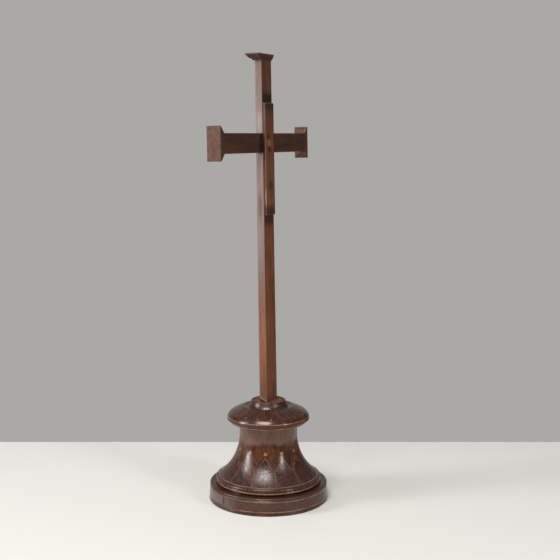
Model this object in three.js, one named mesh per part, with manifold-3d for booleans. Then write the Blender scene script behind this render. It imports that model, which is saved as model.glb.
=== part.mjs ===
// Standing inlaid cross: a plank cross with moulded ends, let into a turned and inlaid foot.
// Millimetres, +Z up. The origin is on the turned axis, in the face that the foot rests on.
// +X runs along the arm. The flat back with its batten faces +Y, the moulded front faces -Y.
import * as THREE from 'three';
import { mergeVertices } from 'three/addons/utils/BufferGeometryUtils.js';
import Module from 'manifold-3d';

// Clearances
const jointGap = 0.3;
const inlayGap = 0.25;

// Plinth
const plinthRadius = 116.2;
const plinthDraw = 1.5;
const plinthHeight = 33.2;
const footBeadWidth = 1.6;
const footBeadHeight = 6.2;
const footBeadBulge = 0.5;
const rimBeadWidth = 3.1;
const rimBeadHeight = 5;
const rimBeadRise = 0.7;
const plinthLowerLineHeight = 8;
const plinthUpperLineHeight = 26.9;
const veneerThickness = 1.2;
const veneerJointWidth = 0.4;
const veneerJointTurn = -22.8;

// Light lines let into the turnings
const lineWidth = 2.5;
const lineDepth = 2;
const lipLineWidth = 3.2;
const flankLineWidth = 1.8;

// Bell, with heights above its own foot
const bellHeight = 117.9;
const neckRadius = 55.2;
const neckRun = 50;
const flankFootRadius = 97.8;
const flankFootHeight = 13.9;
const flankRun = 42.3;
const flankSlope = 38;
const lipRadius = 102.5;
const lipStep = 1.4;
const lipCoveWidth = 3.7;
const lipCoveHeight = 2;
const lipLineHeight = 5.3;
const lipBeadWidth = 3.1;
const lipBeadHeight = 3.5;
const bellSpigotRadius = 45;
const bellSpigotLength = 8;
const neckSpigotRadius = 20;
const neckSpigotLength = 11;

// Inlay of the bell
const dotCount = 12;
const dotTurn = 22.1;
const dotDiameter = 8;
const dotHeight = 69.8;
const dotDepth = 2.4;
const stringWidth = 1.5;
const stringDepth = 1.4;
const archTop = 63;
const archFoot = 36.5;
const legShare = 0.9;

// Collar, with heights above its own underside
const collarRadius = 80.2;
const collarFootRadius = 73.5;
const undersideRadius = 55;
const undersideCove = 1.9;
const collarLowerLineHeight = 3.4;
const collarStep = 4.9;
const ovoloRadius = 5;
const collarUpperLineHeight = 14.2;
const shoulderHeight = 14.8;
const shoulderRise = 11.9;
const shoulderDraw = 9.6;
const domeTopHeight = 37;
const domeTopRun = 26.8;
const domeTopSlope = 25.7;
const domeRim = 2.8;
const domeRimRise = 0.9;
const dropCount = 18;
const dropTurn = 31.4;
const dropDiameter = 4.6;
const dropLength = 10.4;
const dropDepth = 1.2;
const dropHeight = 22.4;

// Boss
const bossSeatRadius = 36;
const bossSeatDepth = 1.6;
const bossRadius = 34;
const bossHeight = 8.2;
const bossFoot = 1.3;
const bossCove = 1.9;
const bossRounding = 2.4;
const bossDish = 1.2;
const bossDishRadius = 25;

// Cross, with heights above the boss
const crossLean = 1.03;
const crossHeight = 662.5;
const postFootWidth = 43;
const postFootThickness = 16;
const postTopWidth = 40;
const postTopThickness = 13.9;
const backOffset = 8.2;
const mortiseDepth = 17.8;
const armSpan = 354.6;
const armWidth = 36.7;
const armThickness = 14.3;
const armHeight = 496.9;
const lapDepth = 7.2;

// Moulded ends
const endDepth = 12.6;
const endOverhang = 12.9;
const endFrontOverhang = 14;
const endPlate = 2.6;
const endEdge = 0.4;
const endFillet = 3.2;
const endFilletHeight = 2.4;
const endHollow = 0.8;
const tenonLength = 6;
const tenonShoulder = 5;
const tenonCheek = 3.4;

// Batten and its screw, with heights above the boss
const battenWidth = 36;
const battenThickness = 4.8;
const battenLength = 211;
const battenHeight = 466.2;
const battenEdge = 1.2;
const screwHeight = 417.5;
const screwHeadDiameter = 7;
const screwHeadDepth = 2.4;
const screwShankDiameter = 3.6;
const screwLength = 14;
const screwSink = 0.4;
const screwSlotWidth = 1;
const screwSlotDepth = 0.9;

// Facets
const turningSides = 36;
const flankSteps = 7;
const domeSteps = 5;
const dotSides = 10;

const colours = {
  turned: 0x4a2c20,
  veneer: 0x5d3d2f,
  collar: 0x46281d,
  boss: 0x4d2f23,
  line: 0xb0764a,
  inlay: 0xa2714d,
  plank: 0x6b432f,
  end: 0x71503f,
  batten: 0x5a3a28,
  screw: 0x2b2522,
};

const wasm = await Module();
wasm.setup();

const radians = THREE.MathUtils.degToRad;
const lerp = THREE.MathUtils.lerp;

// How far a cutter stands out of the surface that it cuts, and what counts as a rounding error.
const proud = 2.5;
const roundingError = 0.004;

// A closed geometry as a solid that can be cut and joined.
function solidOf(geometry) {
  const bare = geometry.clone();
  bare.deleteAttribute('normal');
  bare.deleteAttribute('uv');
  const merged = mergeVertices(bare, 1e-4);
  const corners = merged.index.array;
  const kept = [];
  for (let i = 0; i < corners.length; i += 3) {
    const [a, b, c] = corners.subarray(i, i + 3);
    if (a !== b && b !== c && c !== a) kept.push(a, b, c);
  }
  const vertProperties = merged.attributes.position.array;
  const triVerts = new Uint32Array(kept);
  return new wasm.Manifold(new wasm.Mesh({ numProp: 3, vertProperties, triVerts }));
}

// The solid's faces, without the splits that float rounding leaves along straight edges.
function geometryOf(solid) {
  const { vertProperties, triVerts } = solid.simplify(roundingError).getMesh();
  const shared = new THREE.BufferGeometry();
  shared.setAttribute('position', new THREE.BufferAttribute(vertProperties, 3));
  shared.setIndex(new THREE.BufferAttribute(triVerts, 1));
  const geometry = shared.toNonIndexed();
  geometry.computeVertexNormals();
  return geometry;
}

function cut(geometry, cutters) {
  return geometryOf(solidOf(geometry).subtract(wasm.Manifold.union(cutters.map(solidOf))));
}

function join(geometries) {
  return geometryOf(wasm.Manifold.union(geometries.map(solidOf)));
}

function common(geometry, other) {
  return geometryOf(solidOf(geometry).intersect(solidOf(other)));
}

function piece(name, geometry, color, roughness) {
  const mesh = new THREE.Mesh(geometry, new THREE.MeshStandardMaterial({ color, roughness, metalness: 0 }));
  mesh.name = name;
  return mesh;
}

function numbered(name, index) {
  return `${name}_${String(index + 1).padStart(2, '0')}`;
}

// A profile of [radius, height] points, from the bottom up, turned about the upright axis.
function turned(profile) {
  const points = profile.map(([radius, height]) => new THREE.Vector2(radius, height));
  return new THREE.LatheGeometry(points, turningSides).rotateX(Math.PI / 2);
}

// Points on the arc of an ellipse, in degrees from the outward direction.
function arc(radius, height, width, rise, from, to, steps) {
  return Array.from({ length: steps + 1 }, (_, i) => {
    const angle = radians(lerp(from, to, i / steps));
    return [radius + width * Math.cos(angle), height + rise * Math.sin(angle)];
  });
}

// A closed skin over loops of equally many points, each anticlockwise seen from the last loop's side.
function loft(loops) {
  const positions = [];
  const triangle = (...corners) => corners.forEach((corner) => positions.push(...corner.toArray()));
  const first = loops[0];
  const last = loops[loops.length - 1];
  for (let i = 0; i + 1 < loops.length; i += 1) {
    for (let j = 0; j < first.length; j += 1) {
      const next = (j + 1) % first.length;
      triangle(loops[i][j], loops[i][next], loops[i + 1][next]);
      triangle(loops[i][j], loops[i + 1][next], loops[i + 1][j]);
    }
  }
  for (let j = 1; j + 1 < first.length; j += 1) {
    triangle(first[0], first[j + 1], first[j]);
    triangle(last[0], last[j], last[j + 1]);
  }
  const geometry = new THREE.BufferGeometry();
  geometry.setAttribute('position', new THREE.Float32BufferAttribute(positions, 3));
  return geometry;
}

// A level rectangle, centred across X, from its front to its back.
function rectangle(width, front, back, height) {
  return [
    new THREE.Vector3(-width / 2, front, height),
    new THREE.Vector3(width / 2, front, height),
    new THREE.Vector3(width / 2, back, height),
    new THREE.Vector3(-width / 2, back, height),
  ];
}

function block(width, front, back, bottom, top) {
  return loft([rectangle(width, front, back, bottom), rectangle(width, front, back, top)]);
}

// A turned hoop of square section, for a let-in line or its groove.
function hoop(inner, outer, bottom, top) {
  return turned([[inner, bottom], [outer, bottom], [outer, top], [inner, top], [inner, bottom]]);
}

// A light line of a given width round a turning, and its groove where grow is the gap.
function line(radius, height, width, grow = 0) {
  const half = width / 2 + grow;
  return hoop(radius - lineDepth - grow, radius + proud, height - half, height + half);
}

// The point of a curve of [radius, height] at a height, and the direction out of the turning there.
function surfaceAt(curve, height) {
  const rising = curve.v3.y > curve.v0.y;
  let low = 0;
  let high = 1;
  for (let i = 0; i < 40; i += 1) {
    const middle = (low + high) / 2;
    const below = curve.getPoint(middle).y < height;
    if (below === rising) low = middle;
    else high = middle;
  }
  const tangent = curve.getTangent(low).multiplyScalar(rising ? 1 : -1);
  return {
    radius: curve.getPoint(low).x,
    outward: new THREE.Vector3(tangent.y, 0, -tangent.x),
  };
}

// The frame for an inlay on a turned surface, with its Z outward and its Y up the slope.
function frameOn(curve, height, turn) {
  const { radius, outward } = surfaceAt(curve, height);
  const across = new THREE.Vector3(0, 1, 0);
  const upSlope = new THREE.Vector3().crossVectors(outward, across);
  const seat = new THREE.Matrix4().makeBasis(across, upSlope, outward).setPosition(radius, 0, height);
  return new THREE.Matrix4().makeRotationZ(radians(turn)).multiply(seat);
}

function curvePoints(curve, steps) {
  return curve.getPoints(steps).map((point) => [point.x, point.y]);
}

// Levels of the stacked turnings, from the floor up
const bellLevel = plinthHeight + jointGap;
const collarLevel = bellLevel + bellHeight + jointGap;
const seatHeight = domeTopHeight + domeRimRise - bossSeatDepth;
const bossLevel = collarLevel + seatHeight + jointGap;
const crossLevel = bossLevel + bossHeight;
const crossFrame = new THREE.Matrix4().makeRotationX(radians(crossLean)).setPosition(0, 0, crossLevel);

// Plinth with its veneer
function plinthProfile() {
  const beadRadius = plinthRadius + footBeadBulge - footBeadWidth;
  const topRadius = plinthRadius - plinthDraw;
  const crest = plinthHeight + rimBeadRise;
  return [
    [0, 0],
    ...arc(beadRadius, footBeadHeight / 2, footBeadWidth, footBeadHeight / 2, -80, 50, 2),
    [plinthRadius, footBeadHeight],
    [topRadius, crest - rimBeadHeight],
    ...arc(
      topRadius + 0.3 - rimBeadWidth, crest - rimBeadHeight / 2, rimBeadWidth, rimBeadHeight / 2, -45, 135, 4,
    ),
    [topRadius - 2 * rimBeadWidth, plinthHeight],
    [0, plinthHeight],
  ];
}

// The veneer between the two lines of the plinth, or its recess where grow is the gap.
function veneerBand(grow = 0) {
  const bottom = plinthLowerLineHeight + lineWidth / 2 + inlayGap;
  const top = plinthUpperLineHeight - lineWidth / 2 - inlayGap;
  const inner = plinthRadius - veneerThickness - grow;
  return turned([
    [inner, bottom],
    [plinthRadius + proud, bottom],
    [plinthRadius + proud, top],
    [inner - plinthDraw, top],
    [inner, bottom],
  ]);
}

function makePlinth() {
  const blank = turned(plinthProfile());
  const lowerLine = (grow) => line(plinthRadius - 0.2, plinthLowerLineHeight, lineWidth, grow);
  const upperLine = (grow) => line(plinthRadius - plinthDraw, plinthUpperLineHeight, lineWidth, grow);
  const socket = hoop(0, bellSpigotRadius + jointGap, plinthHeight - bellSpigotLength, plinthHeight + proud);
  const butt = block(veneerJointWidth, -2 * plinthRadius, 0, 0, plinthHeight);
  butt.rotateZ(radians(90 + veneerJointTurn));
  return [
    piece(
      'plinth',
      cut(blank, [lowerLine(inlayGap), upperLine(inlayGap), veneerBand(inlayGap), socket]),
      colours.turned,
      0.35,
    ),
    piece('plinth_line_lower', common(lowerLine(), blank), colours.line, 0.4),
    piece('plinth_line_upper', common(upperLine(), blank), colours.line, 0.4),
    piece('plinth_veneer', cut(common(veneerBand(), blank), [butt]), colours.veneer, 0.35),
  ];
}

// Bell with its dots and arches
const flankCurve = new THREE.CubicBezierCurve(
  new THREE.Vector2(flankFootRadius, flankFootHeight),
  new THREE.Vector2(
    flankFootRadius - flankRun * Math.cos(radians(flankSlope)),
    flankFootHeight + flankRun * Math.sin(radians(flankSlope)),
  ),
  new THREE.Vector2(neckRadius, bellHeight - neckRun),
  new THREE.Vector2(neckRadius, bellHeight),
);

function bellProfile() {
  const footRadius = lipRadius - 0.4 - lipCoveWidth;
  return [
    [0, -bellSpigotLength],
    [bellSpigotRadius, -bellSpigotLength],
    [bellSpigotRadius, 0],
    [footRadius, 0],
    ...arc(lipRadius - 0.4, lipStep, lipCoveWidth, lipCoveHeight, 180, 90, 2),
    [lipRadius, lipLineHeight - lipLineWidth / 2],
    [lipRadius, lipLineHeight + lipLineWidth / 2],
    ...arc(lipRadius - lipBeadWidth, flankFootHeight - 0.5 - lipBeadHeight, lipBeadWidth, lipBeadHeight, -30, 90, 3),
    ...curvePoints(flankCurve, flankSteps),
    [neckSpigotRadius, bellHeight],
    [neckSpigotRadius, bellHeight + neckSpigotLength],
    [0, bellHeight + neckSpigotLength],
  ];
}

function dot(turn, grow = 0) {
  const radius = dotDiameter / 2 + grow;
  const depth = dotDepth + grow;
  const plug = new THREE.CylinderGeometry(radius, radius, depth + proud, dotSides).rotateX(Math.PI / 2);
  plug.translate(0, 0, (proud - depth) / 2);
  return plug.applyMatrix4(frameOn(flankCurve, dotHeight, turn));
}

// The upper line of the bell starts just over the end of the flank, and the stems run down to it.
const flankLineHeight = flankFootHeight + 0.3 + flankLineWidth / 2;
const stemFoot = flankLineHeight + flankLineWidth / 2 + inlayGap;

// One arch: up its left leg, over its point, down its right leg and down the stem that it shares.
function archPath() {
  const halfPitch = 180 / dotCount;
  const leg = (share) => ({
    turn: share * halfPitch,
    height: lerp(archTop, archFoot, Math.abs(share)),
  });
  const stem = (share) => ({ turn: halfPitch, height: lerp(archFoot, stemFoot, share) });
  return [...[-legShare, -legShare / 2, 0, 0.5, 1].map(leg), ...[0.5, 1].map(stem)];
}

// The tape that follows it, square to the flank but level where it meets the line.
function arch(turn, grow = 0) {
  const upright = new THREE.Vector3(0, 0, 1);
  const stations = archPath().map(({ turn: aside, height }) => {
    const { radius, outward } = surfaceAt(flankCurve, height);
    if (height === stemFoot) outward.set(1 / outward.x, 0, 0);
    return {
      point: new THREE.Vector3(radius, 0, height).applyAxisAngle(upright, radians(turn + aside)),
      outward: outward.applyAxisAngle(upright, radians(turn + aside)),
    };
  });
  const loops = stations.map(({ point, outward }, i) => {
    const before = stations[Math.max(i - 1, 0)].point;
    const after = stations[Math.min(i + 1, stations.length - 1)].point;
    const arriving = new THREE.Vector3().subVectors(point, before).normalize();
    const leaving = new THREE.Vector3().subVectors(after, point).normalize();
    const along = new THREE.Vector3().addVectors(arriving, leaving).normalize();
    const mitre = 1 / Math.max(along.dot(i ? arriving : leaving), 0.4);
    const side = new THREE.Vector3().crossVectors(outward, along).normalize();
    const reach = side.multiplyScalar((stringWidth / 2 + grow) * mitre);
    const ending = i === stations.length - 1 ? 2 * grow : 0;
    const centre = point.clone().addScaledVector(along, i ? ending : -grow);
    const floor = centre.clone().addScaledVector(outward, -stringDepth - grow);
    const crest = centre.clone().addScaledVector(outward, proud);
    return [floor.clone().sub(reach), floor.clone().add(reach), crest.clone().add(reach), crest.clone().sub(reach)];
  });
  return loft(loops);
}

function makeBell() {
  const blank = turned(bellProfile());
  const turns = Array.from({ length: dotCount }, (_, i) => dotTurn + (i * 360) / dotCount);
  const lipLine = (grow) => line(lipRadius, lipLineHeight, lipLineWidth, grow);
  const flankLine = (grow) => line(flankFootRadius - 2, flankLineHeight, flankLineWidth, grow);
  const pockets = turns.flatMap((turn) => [dot(turn, inlayGap), arch(turn, inlayGap)]);
  const bell = new THREE.Group();
  bell.position.z = bellLevel;
  bell.add(
    piece('bell', cut(blank, [lipLine(inlayGap), flankLine(inlayGap), ...pockets]), colours.turned, 0.3),
    piece('bell_line_lower', common(lipLine(), blank), colours.line, 0.35),
    piece('bell_line_upper', common(flankLine(), blank), colours.line, 0.35),
    ...turns.map((turn, i) => piece(numbered('bell_dot', i), common(dot(turn), blank), colours.inlay, 0.35)),
    ...turns.map((turn, i) => piece(numbered('bell_arch', i), common(arch(turn), blank), colours.inlay, 0.35)),
  );
  return bell;
}

// Collar with its drops
const domeTopRadius = bossSeatRadius + jointGap + domeRim;
const domeCurve = new THREE.CubicBezierCurve(
  new THREE.Vector2(collarRadius - 0.2, shoulderHeight),
  new THREE.Vector2(collarRadius - shoulderDraw, shoulderHeight + shoulderRise),
  new THREE.Vector2(
    domeTopRadius + domeTopRun * Math.cos(radians(domeTopSlope)),
    domeTopHeight - domeTopRun * Math.sin(radians(domeTopSlope)),
  ),
  new THREE.Vector2(domeTopRadius, domeTopHeight),
);

function collarProfile() {
  return [
    [0, 0],
    ...arc(collarFootRadius, 0, collarFootRadius - undersideRadius, undersideCove, 180, 90, 2),
    [collarFootRadius, collarStep],
    ...arc(collarRadius - ovoloRadius, collarStep + ovoloRadius, ovoloRadius, ovoloRadius, -90, 0, 3),
    ...curvePoints(domeCurve, domeSteps),
    [bossSeatRadius + jointGap, domeTopHeight + domeRimRise],
    [bossSeatRadius + jointGap, seatHeight],
    [0, seatHeight],
  ];
}

// A drop with its point up the dome: a round head, and straight sides that meet it smoothly.
function drop(turn, grow = 0) {
  const headRadius = dropDiameter / 2;
  const pointReach = dropLength - headRadius;
  const sideAngle = Math.asin(headRadius / pointReach);
  const scale = 1 + grow / headRadius;
  const outline = [[0, pointReach * scale]];
  for (let i = 0; i <= 3; i += 1) {
    const angle = lerp(Math.PI - sideAngle, 2 * Math.PI + sideAngle, i / 3);
    outline.push([headRadius * scale * Math.cos(angle), headRadius * scale * Math.sin(angle)]);
  }
  const loop = (height) => outline.map(([x, y]) => new THREE.Vector3(x, y, height));
  return loft([loop(-dropDepth - grow), loop(proud)]).applyMatrix4(frameOn(domeCurve, dropHeight, turn));
}

// The hole for the post's foot, in the frame of the whole object.
function mortise() {
  const front = backOffset - postFootThickness - jointGap;
  const foot = collarLevel + seatHeight - mortiseDepth - crossLevel;
  const hole = block(postFootWidth + 2 * jointGap, front, backOffset + jointGap, foot, bossHeight);
  return hole.applyMatrix4(crossFrame);
}

function makeCollar() {
  const blank = turned(collarProfile());
  const turns = Array.from({ length: dropCount }, (_, i) => dropTurn + (i * 360) / dropCount);
  const lowerLine = (grow) => line(collarFootRadius, collarLowerLineHeight, lineWidth, grow);
  const upperLine = (grow) => line(collarRadius, collarUpperLineHeight, lineWidth, grow);
  const socket = hoop(0, neckSpigotRadius + jointGap, -proud, neckSpigotLength);
  const hole = mortise().translate(0, 0, -collarLevel);
  const pockets = turns.map((turn) => drop(turn, inlayGap));
  const collar = new THREE.Group();
  collar.position.z = collarLevel;
  collar.add(
    piece(
      'collar',
      cut(blank, [lowerLine(inlayGap), upperLine(inlayGap), socket, hole, ...pockets]),
      colours.collar,
      0.3,
    ),
    piece('collar_line_lower', common(lowerLine(), blank), colours.line, 0.35),
    piece('collar_line_upper', common(upperLine(), blank), colours.line, 0.35),
    ...turns.map((turn, i) => piece(numbered('collar_drop', i), common(drop(turn), blank), colours.inlay, 0.35)),
  );
  return collar;
}

function makeBoss() {
  const blank = turned([
    [0, 0],
    [bossSeatRadius, 0],
    ...arc(bossSeatRadius, bossFoot + bossCove, bossSeatRadius - bossRadius, bossCove, -90, -180, 2),
    ...arc(bossRadius - bossRounding, bossHeight - bossRounding, bossRounding, bossRounding, 0, 120, 2),
    [bossDishRadius, bossHeight - bossDish],
    [0, bossHeight - bossDish],
  ]);
  const boss = piece('boss', cut(blank, [mortise().translate(0, 0, -bossLevel)]), colours.boss, 0.35);
  boss.position.z = bossLevel;
  return boss;
}

// A plank end's stub tenon, or the hole for it where grow is the gap.
function stubTenon(width, thickness, bottom, top, grow = 0) {
  const front = backOffset - thickness + tenonCheek - grow;
  const back = backOffset - tenonCheek + grow;
  return block(width - 2 * (tenonShoulder - grow), front, back, bottom, top);
}

// A moulded end for a plank, standing on the plank's end: flush behind and flared on its other sides.
function mouldedEnd(width, thickness) {
  const section = (overhang, height) => {
    const front = backOffset - thickness - (overhang * endFrontOverhang) / endOverhang;
    return rectangle(width + 2 * overhang, front, backOffset, height);
  };
  const plateFoot = endDepth - endPlate - endEdge;
  const solid = loft([
    section(endFillet, 0),
    section(endFillet, endFilletHeight),
    section((endFillet + endOverhang) / 2 - endHollow, (endFilletHeight + plateFoot) / 2),
    section(endOverhang, plateFoot),
    section(endOverhang, endDepth - endEdge),
    section(endOverhang - endEdge, endDepth),
  ]);
  return cut(solid, [stubTenon(width, thickness, -proud, tenonLength, jointGap)]);
}

function postWidthAt(height) {
  return lerp(postFootWidth, postTopWidth, Math.max(height, 0) / crossHeight);
}

function postThicknessAt(height) {
  return lerp(postFootThickness, postTopThickness, Math.max(height, 0) / crossHeight);
}

// The screw, along Z with its head up, or the hole for it where grow is the gap.
function screwBlank(grow = 0) {
  const headRadius = screwHeadDiameter / 2 + grow;
  const shankRadius = screwShankDiameter / 2 + grow;
  return new THREE.LatheGeometry(
    [
      new THREE.Vector2(0, -screwLength - grow),
      new THREE.Vector2(shankRadius, shankRadius - screwLength),
      new THREE.Vector2(shankRadius, -screwHeadDepth),
      new THREE.Vector2(headRadius, -0.4),
      new THREE.Vector2(headRadius, grow ? proud : 0),
      new THREE.Vector2(0, grow ? proud : 0),
    ],
    dotSides,
  ).translate(0, backOffset + jointGap + battenThickness - screwSink, screwHeight);
}

function makePost() {
  const foot = collarLevel + seatHeight - mortiseDepth + jointGap - crossLevel;
  const shoulder = crossHeight - endDepth - jointGap;
  const section = (height) =>
    rectangle(postWidthAt(height), backOffset - postThicknessAt(height), backOffset, height);
  const shank = loft([section(foot), section(0), section(shoulder)]);
  const tenon = stubTenon(postTopWidth, postTopThickness, shoulder - 1, shoulder + tenonLength);
  const lap = block(
    2 * postFootWidth,
    backOffset - lapDepth - jointGap,
    backOffset + proud,
    armHeight - armWidth / 2 - jointGap,
    armHeight + armWidth / 2 + jointGap,
  );
  return piece('post', cut(join([shank, tenon]), [lap, screwBlank(jointGap)]), colours.plank, 0.45);
}

// The arm, drawn standing at the crossing and laid along X.
function makeArm() {
  const shoulder = armSpan / 2 - endDepth - jointGap;
  const shank = block(armWidth, backOffset - armThickness, backOffset, -shoulder, shoulder);
  const tip = shoulder + tenonLength;
  const tenon = stubTenon(armWidth, armThickness, -tip, tip);
  const halfLap = postWidthAt(armHeight - armWidth / 2) / 2 + jointGap;
  const lap = block(2 * armWidth, backOffset - armThickness - proud, backOffset - lapDepth, -halfLap, halfLap);
  const arm = piece('arm', cut(join([shank, tenon]), [lap]), colours.plank, 0.45);
  arm.rotation.y = Math.PI / 2;
  arm.position.z = armHeight;
  return arm;
}

function makeEnds() {
  const top = piece('top_finial', mouldedEnd(postTopWidth, postTopThickness), colours.end, 0.5);
  top.position.z = crossHeight - endDepth;
  const near = piece('near_finial', mouldedEnd(armWidth, armThickness), colours.end, 0.5);
  near.rotation.y = Math.PI / 2;
  near.position.set(armSpan / 2 - endDepth, 0, armHeight);
  const far = piece('far_finial', mouldedEnd(armWidth, armThickness), colours.end, 0.5);
  far.rotation.y = -Math.PI / 2;
  far.position.set(endDepth - armSpan / 2, 0, armHeight);
  return [top, near, far];
}

// The batten on the back, with its outer edges and corners eased.
function makeBatten() {
  const face = battenThickness - battenEdge;
  const layer = (inset, out) => {
    const x = battenWidth / 2 - inset;
    const z = battenLength / 2 - inset;
    const corner = (right, up) => [
      new THREE.Vector3(right * x, out, up * (z - battenEdge)),
      new THREE.Vector3(right * (x - battenEdge), out, up * z),
    ];
    return [
      ...corner(1, 1), ...corner(-1, 1).reverse(), ...corner(-1, -1), ...corner(1, -1).reverse(),
    ].reverse();
  };
  const slab = loft([layer(0, 0), layer(0, face), layer(battenEdge * 0.3, battenThickness - battenEdge * 0.3),
    layer(battenEdge, battenThickness)]);
  slab.translate(0, backOffset + jointGap, battenHeight);
  return piece('batten', cut(slab, [screwBlank(jointGap)]), colours.batten, 0.5);
}

function makeScrew() {
  const outside = backOffset + jointGap + battenThickness;
  const slot = block(
    screwSlotWidth, outside - screwSink - screwSlotDepth, outside + proud,
    screwHeight - screwHeadDiameter, screwHeight + screwHeadDiameter,
  );
  return piece('batten_screw', cut(screwBlank(), [slot]), colours.screw, 0.6);
}

const cross = new THREE.Group();
cross.position.z = crossLevel;
cross.rotation.x = radians(crossLean);
cross.add(makePost(), makeArm(), ...makeEnds(), makeBatten(), makeScrew());

const group = new THREE.Group();
group.add(...makePlinth(), makeBell(), makeCollar(), makeBoss(), cross);

export default group;
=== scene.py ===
"""Standing inlaid cross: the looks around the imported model, in the model's own frame."""

import math

import bmesh
import bpy
from mathutils import Matrix, Vector, noise


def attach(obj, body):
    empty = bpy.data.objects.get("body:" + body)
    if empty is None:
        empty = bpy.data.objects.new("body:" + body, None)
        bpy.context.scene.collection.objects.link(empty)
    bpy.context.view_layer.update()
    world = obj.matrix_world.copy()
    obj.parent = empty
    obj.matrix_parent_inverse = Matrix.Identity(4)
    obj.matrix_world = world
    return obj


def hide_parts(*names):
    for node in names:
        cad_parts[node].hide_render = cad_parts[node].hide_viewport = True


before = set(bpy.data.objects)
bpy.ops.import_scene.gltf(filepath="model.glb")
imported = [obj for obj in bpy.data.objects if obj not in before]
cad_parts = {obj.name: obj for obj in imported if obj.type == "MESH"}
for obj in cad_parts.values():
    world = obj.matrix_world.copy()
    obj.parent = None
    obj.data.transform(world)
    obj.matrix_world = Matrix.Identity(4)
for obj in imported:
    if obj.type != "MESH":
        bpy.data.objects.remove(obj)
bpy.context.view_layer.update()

# Camera, fitted to the rings of the foot and the ends of the arm, in pixels, degrees and metres
FRAME_PIXELS = 560
FOCAL_PIXELS = 1050
CAMERA_TURN = 116.8
CAMERA_DROP = 7.89
CAMERA_DISTANCE = 2.002
CAMERA_ASIDE = 0.0228
CAMERA_HEIGHT = 0.7092

# Every length of the object below is in millimetres, and every turn is in degrees.
MM = 0.001
TURNED_SIDES = 288
SHARP_ANGLE = 32
JOINT_GAP = 0.3

# Levels of the stacked turnings and of the cross, which leans towards its front
BELL_LEVEL = 33.5
NECK_TOP = 117.9
COLLAR_LEVEL = BELL_LEVEL + NECK_TOP + JOINT_GAP
BOSS_LEVEL = 188.3
BOSS_HEIGHT = 8.2
CROSS_LEVEL = BOSS_LEVEL + BOSS_HEIGHT
CROSS_LEAN = 1.03
CROSS = Matrix.Translation((0, 0, CROSS_LEVEL)) @ Matrix.Rotation(math.radians(CROSS_LEAN), 4, "X")

# Spigots of the bell, into the plinth and into the collar
FOOT_SPIGOT_RADIUS = 45
FOOT_SPIGOT_LENGTH = 8
HEAD_SPIGOT_RADIUS = 20
HEAD_SPIGOT_LENGTH = 11

# Let-in lines and inlays: how deep they sit, how far they stand proud and the seam beside them
LINE_DEPTH = 2.0
VENEER_DEPTH = 1.2
INLAY_DEPTH = 1.0
PROUD = 0.04
SEAM = 0.03
SEAM_EDGE = 0.1

# The upright butt joint of the veneer on the plinth
VENEER_JOINT_TURN = -20.5
VENEER_JOINT_WIDTH = 0.3
VENEER_RADIUS = 115.4
VENEER_MIDDLE = 18
VENEER_JOINT_PLACE = (
    Matrix.Rotation(math.radians(VENEER_JOINT_TURN), 4, "Z") @ Vector((VENEER_RADIUS, 0, VENEER_MIDDLE))
)

# The dots on the bell, with their height above its foot
DOT_COUNT = 12
DOT_TURN = 22.1
DOT_HEIGHT = 69.8
DOT_RADIUS = 4.0
DOT_PLACE_RADIUS = 58.5

# Cross, with heights above the boss. BACK is how far its flat back lies behind the axis.
CROSS_HEIGHT = 662.5
POST_WIDTHS = (43.0, 40.0)
POST_THICKNESSES = (16.0, 13.9)
BACK = 8.2
ARM_SPAN = 354.6
ARM_WIDTH = 36.7
ARM_THICKNESS = 14.3
ARM_HEIGHT = 496.9
LAP_DEPTH = 7.2
END_DEPTH = 12.6
END_OVERHANG = 12.9
END_FRONT_OVERHANG = 14.0
BATTEN_WIDTH = 36.0
BATTEN_THICKNESS = 4.8
BATTEN_LENGTH = 211.0
BATTEN_HEIGHT = 466.2
SCREW_HEIGHT = 417.5
SCREW_SIDES = 40


def view_direction(turn, rise=0.0):
    """From the object towards the camera, then turned towards the picture's right and raised."""
    plan = math.radians(CAMERA_TURN + turn)
    level = math.cos(math.radians(rise))
    return Vector((level * math.sin(plan), -level * math.cos(plan), math.sin(math.radians(rise))))


def lerp(a, b, share):
    return a + (b - a) * share


# Meshes


def make_piece(name, shape, material, node, lean=False):
    """An object from a bmesh in millimetres, riding on the root in place of a CAD node."""
    bmesh.ops.transform(shape, matrix=CROSS if lean else Matrix.Identity(4), verts=shape.verts)
    bmesh.ops.scale(shape, vec=(MM, MM, MM), verts=shape.verts)
    bmesh.ops.recalc_face_normals(shape, faces=shape.faces)
    data = bpy.data.meshes.new(name)
    shape.to_mesh(data)
    shape.free()
    data.shade_smooth()
    data.set_sharp_from_angle(angle=math.radians(SHARP_ANGLE))
    data.materials.append(material)
    piece = bpy.data.objects.new(name, data)
    bpy.context.collection.objects.link(piece)
    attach(piece, "root")
    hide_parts(node)
    return piece


def arc(radius, height, width, rise, start, end, steps):
    """Points on the arc of an ellipse, in degrees from the outward direction."""
    angles = [math.radians(lerp(start, end, i / steps)) for i in range(steps + 1)]
    return [(radius + width * math.cos(a), height + rise * math.sin(a)) for a in angles]


def circle(radius, sides):
    return arc(0, 0, radius, radius, 0, 360, sides)[:-1]


def bezier(a, b, c, d, steps):
    """Points on a curve from a to d that leaves towards b and arrives from c."""
    points = []
    for i in range(steps + 1):
        t = i / steps
        weights = ((1 - t) ** 3, 3 * t * (1 - t) ** 2, 3 * t * t * (1 - t), t ** 3)
        points.append(tuple(sum(w * p[k] for w, p in zip(weights, (a, b, c, d))) for k in (0, 1)))
    return points


def blank_shape():
    """An empty shape whose points carry how near they are to a worn or glued edge, from 0 to 1."""
    shape = bmesh.new()
    shape.verts.layers.float.new("edge")
    return shape


def add_point(shape, place, edge=0.0):
    point = shape.verts.new(place)
    point[shape.verts.layers.float["edge"]] = edge
    return point


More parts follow.
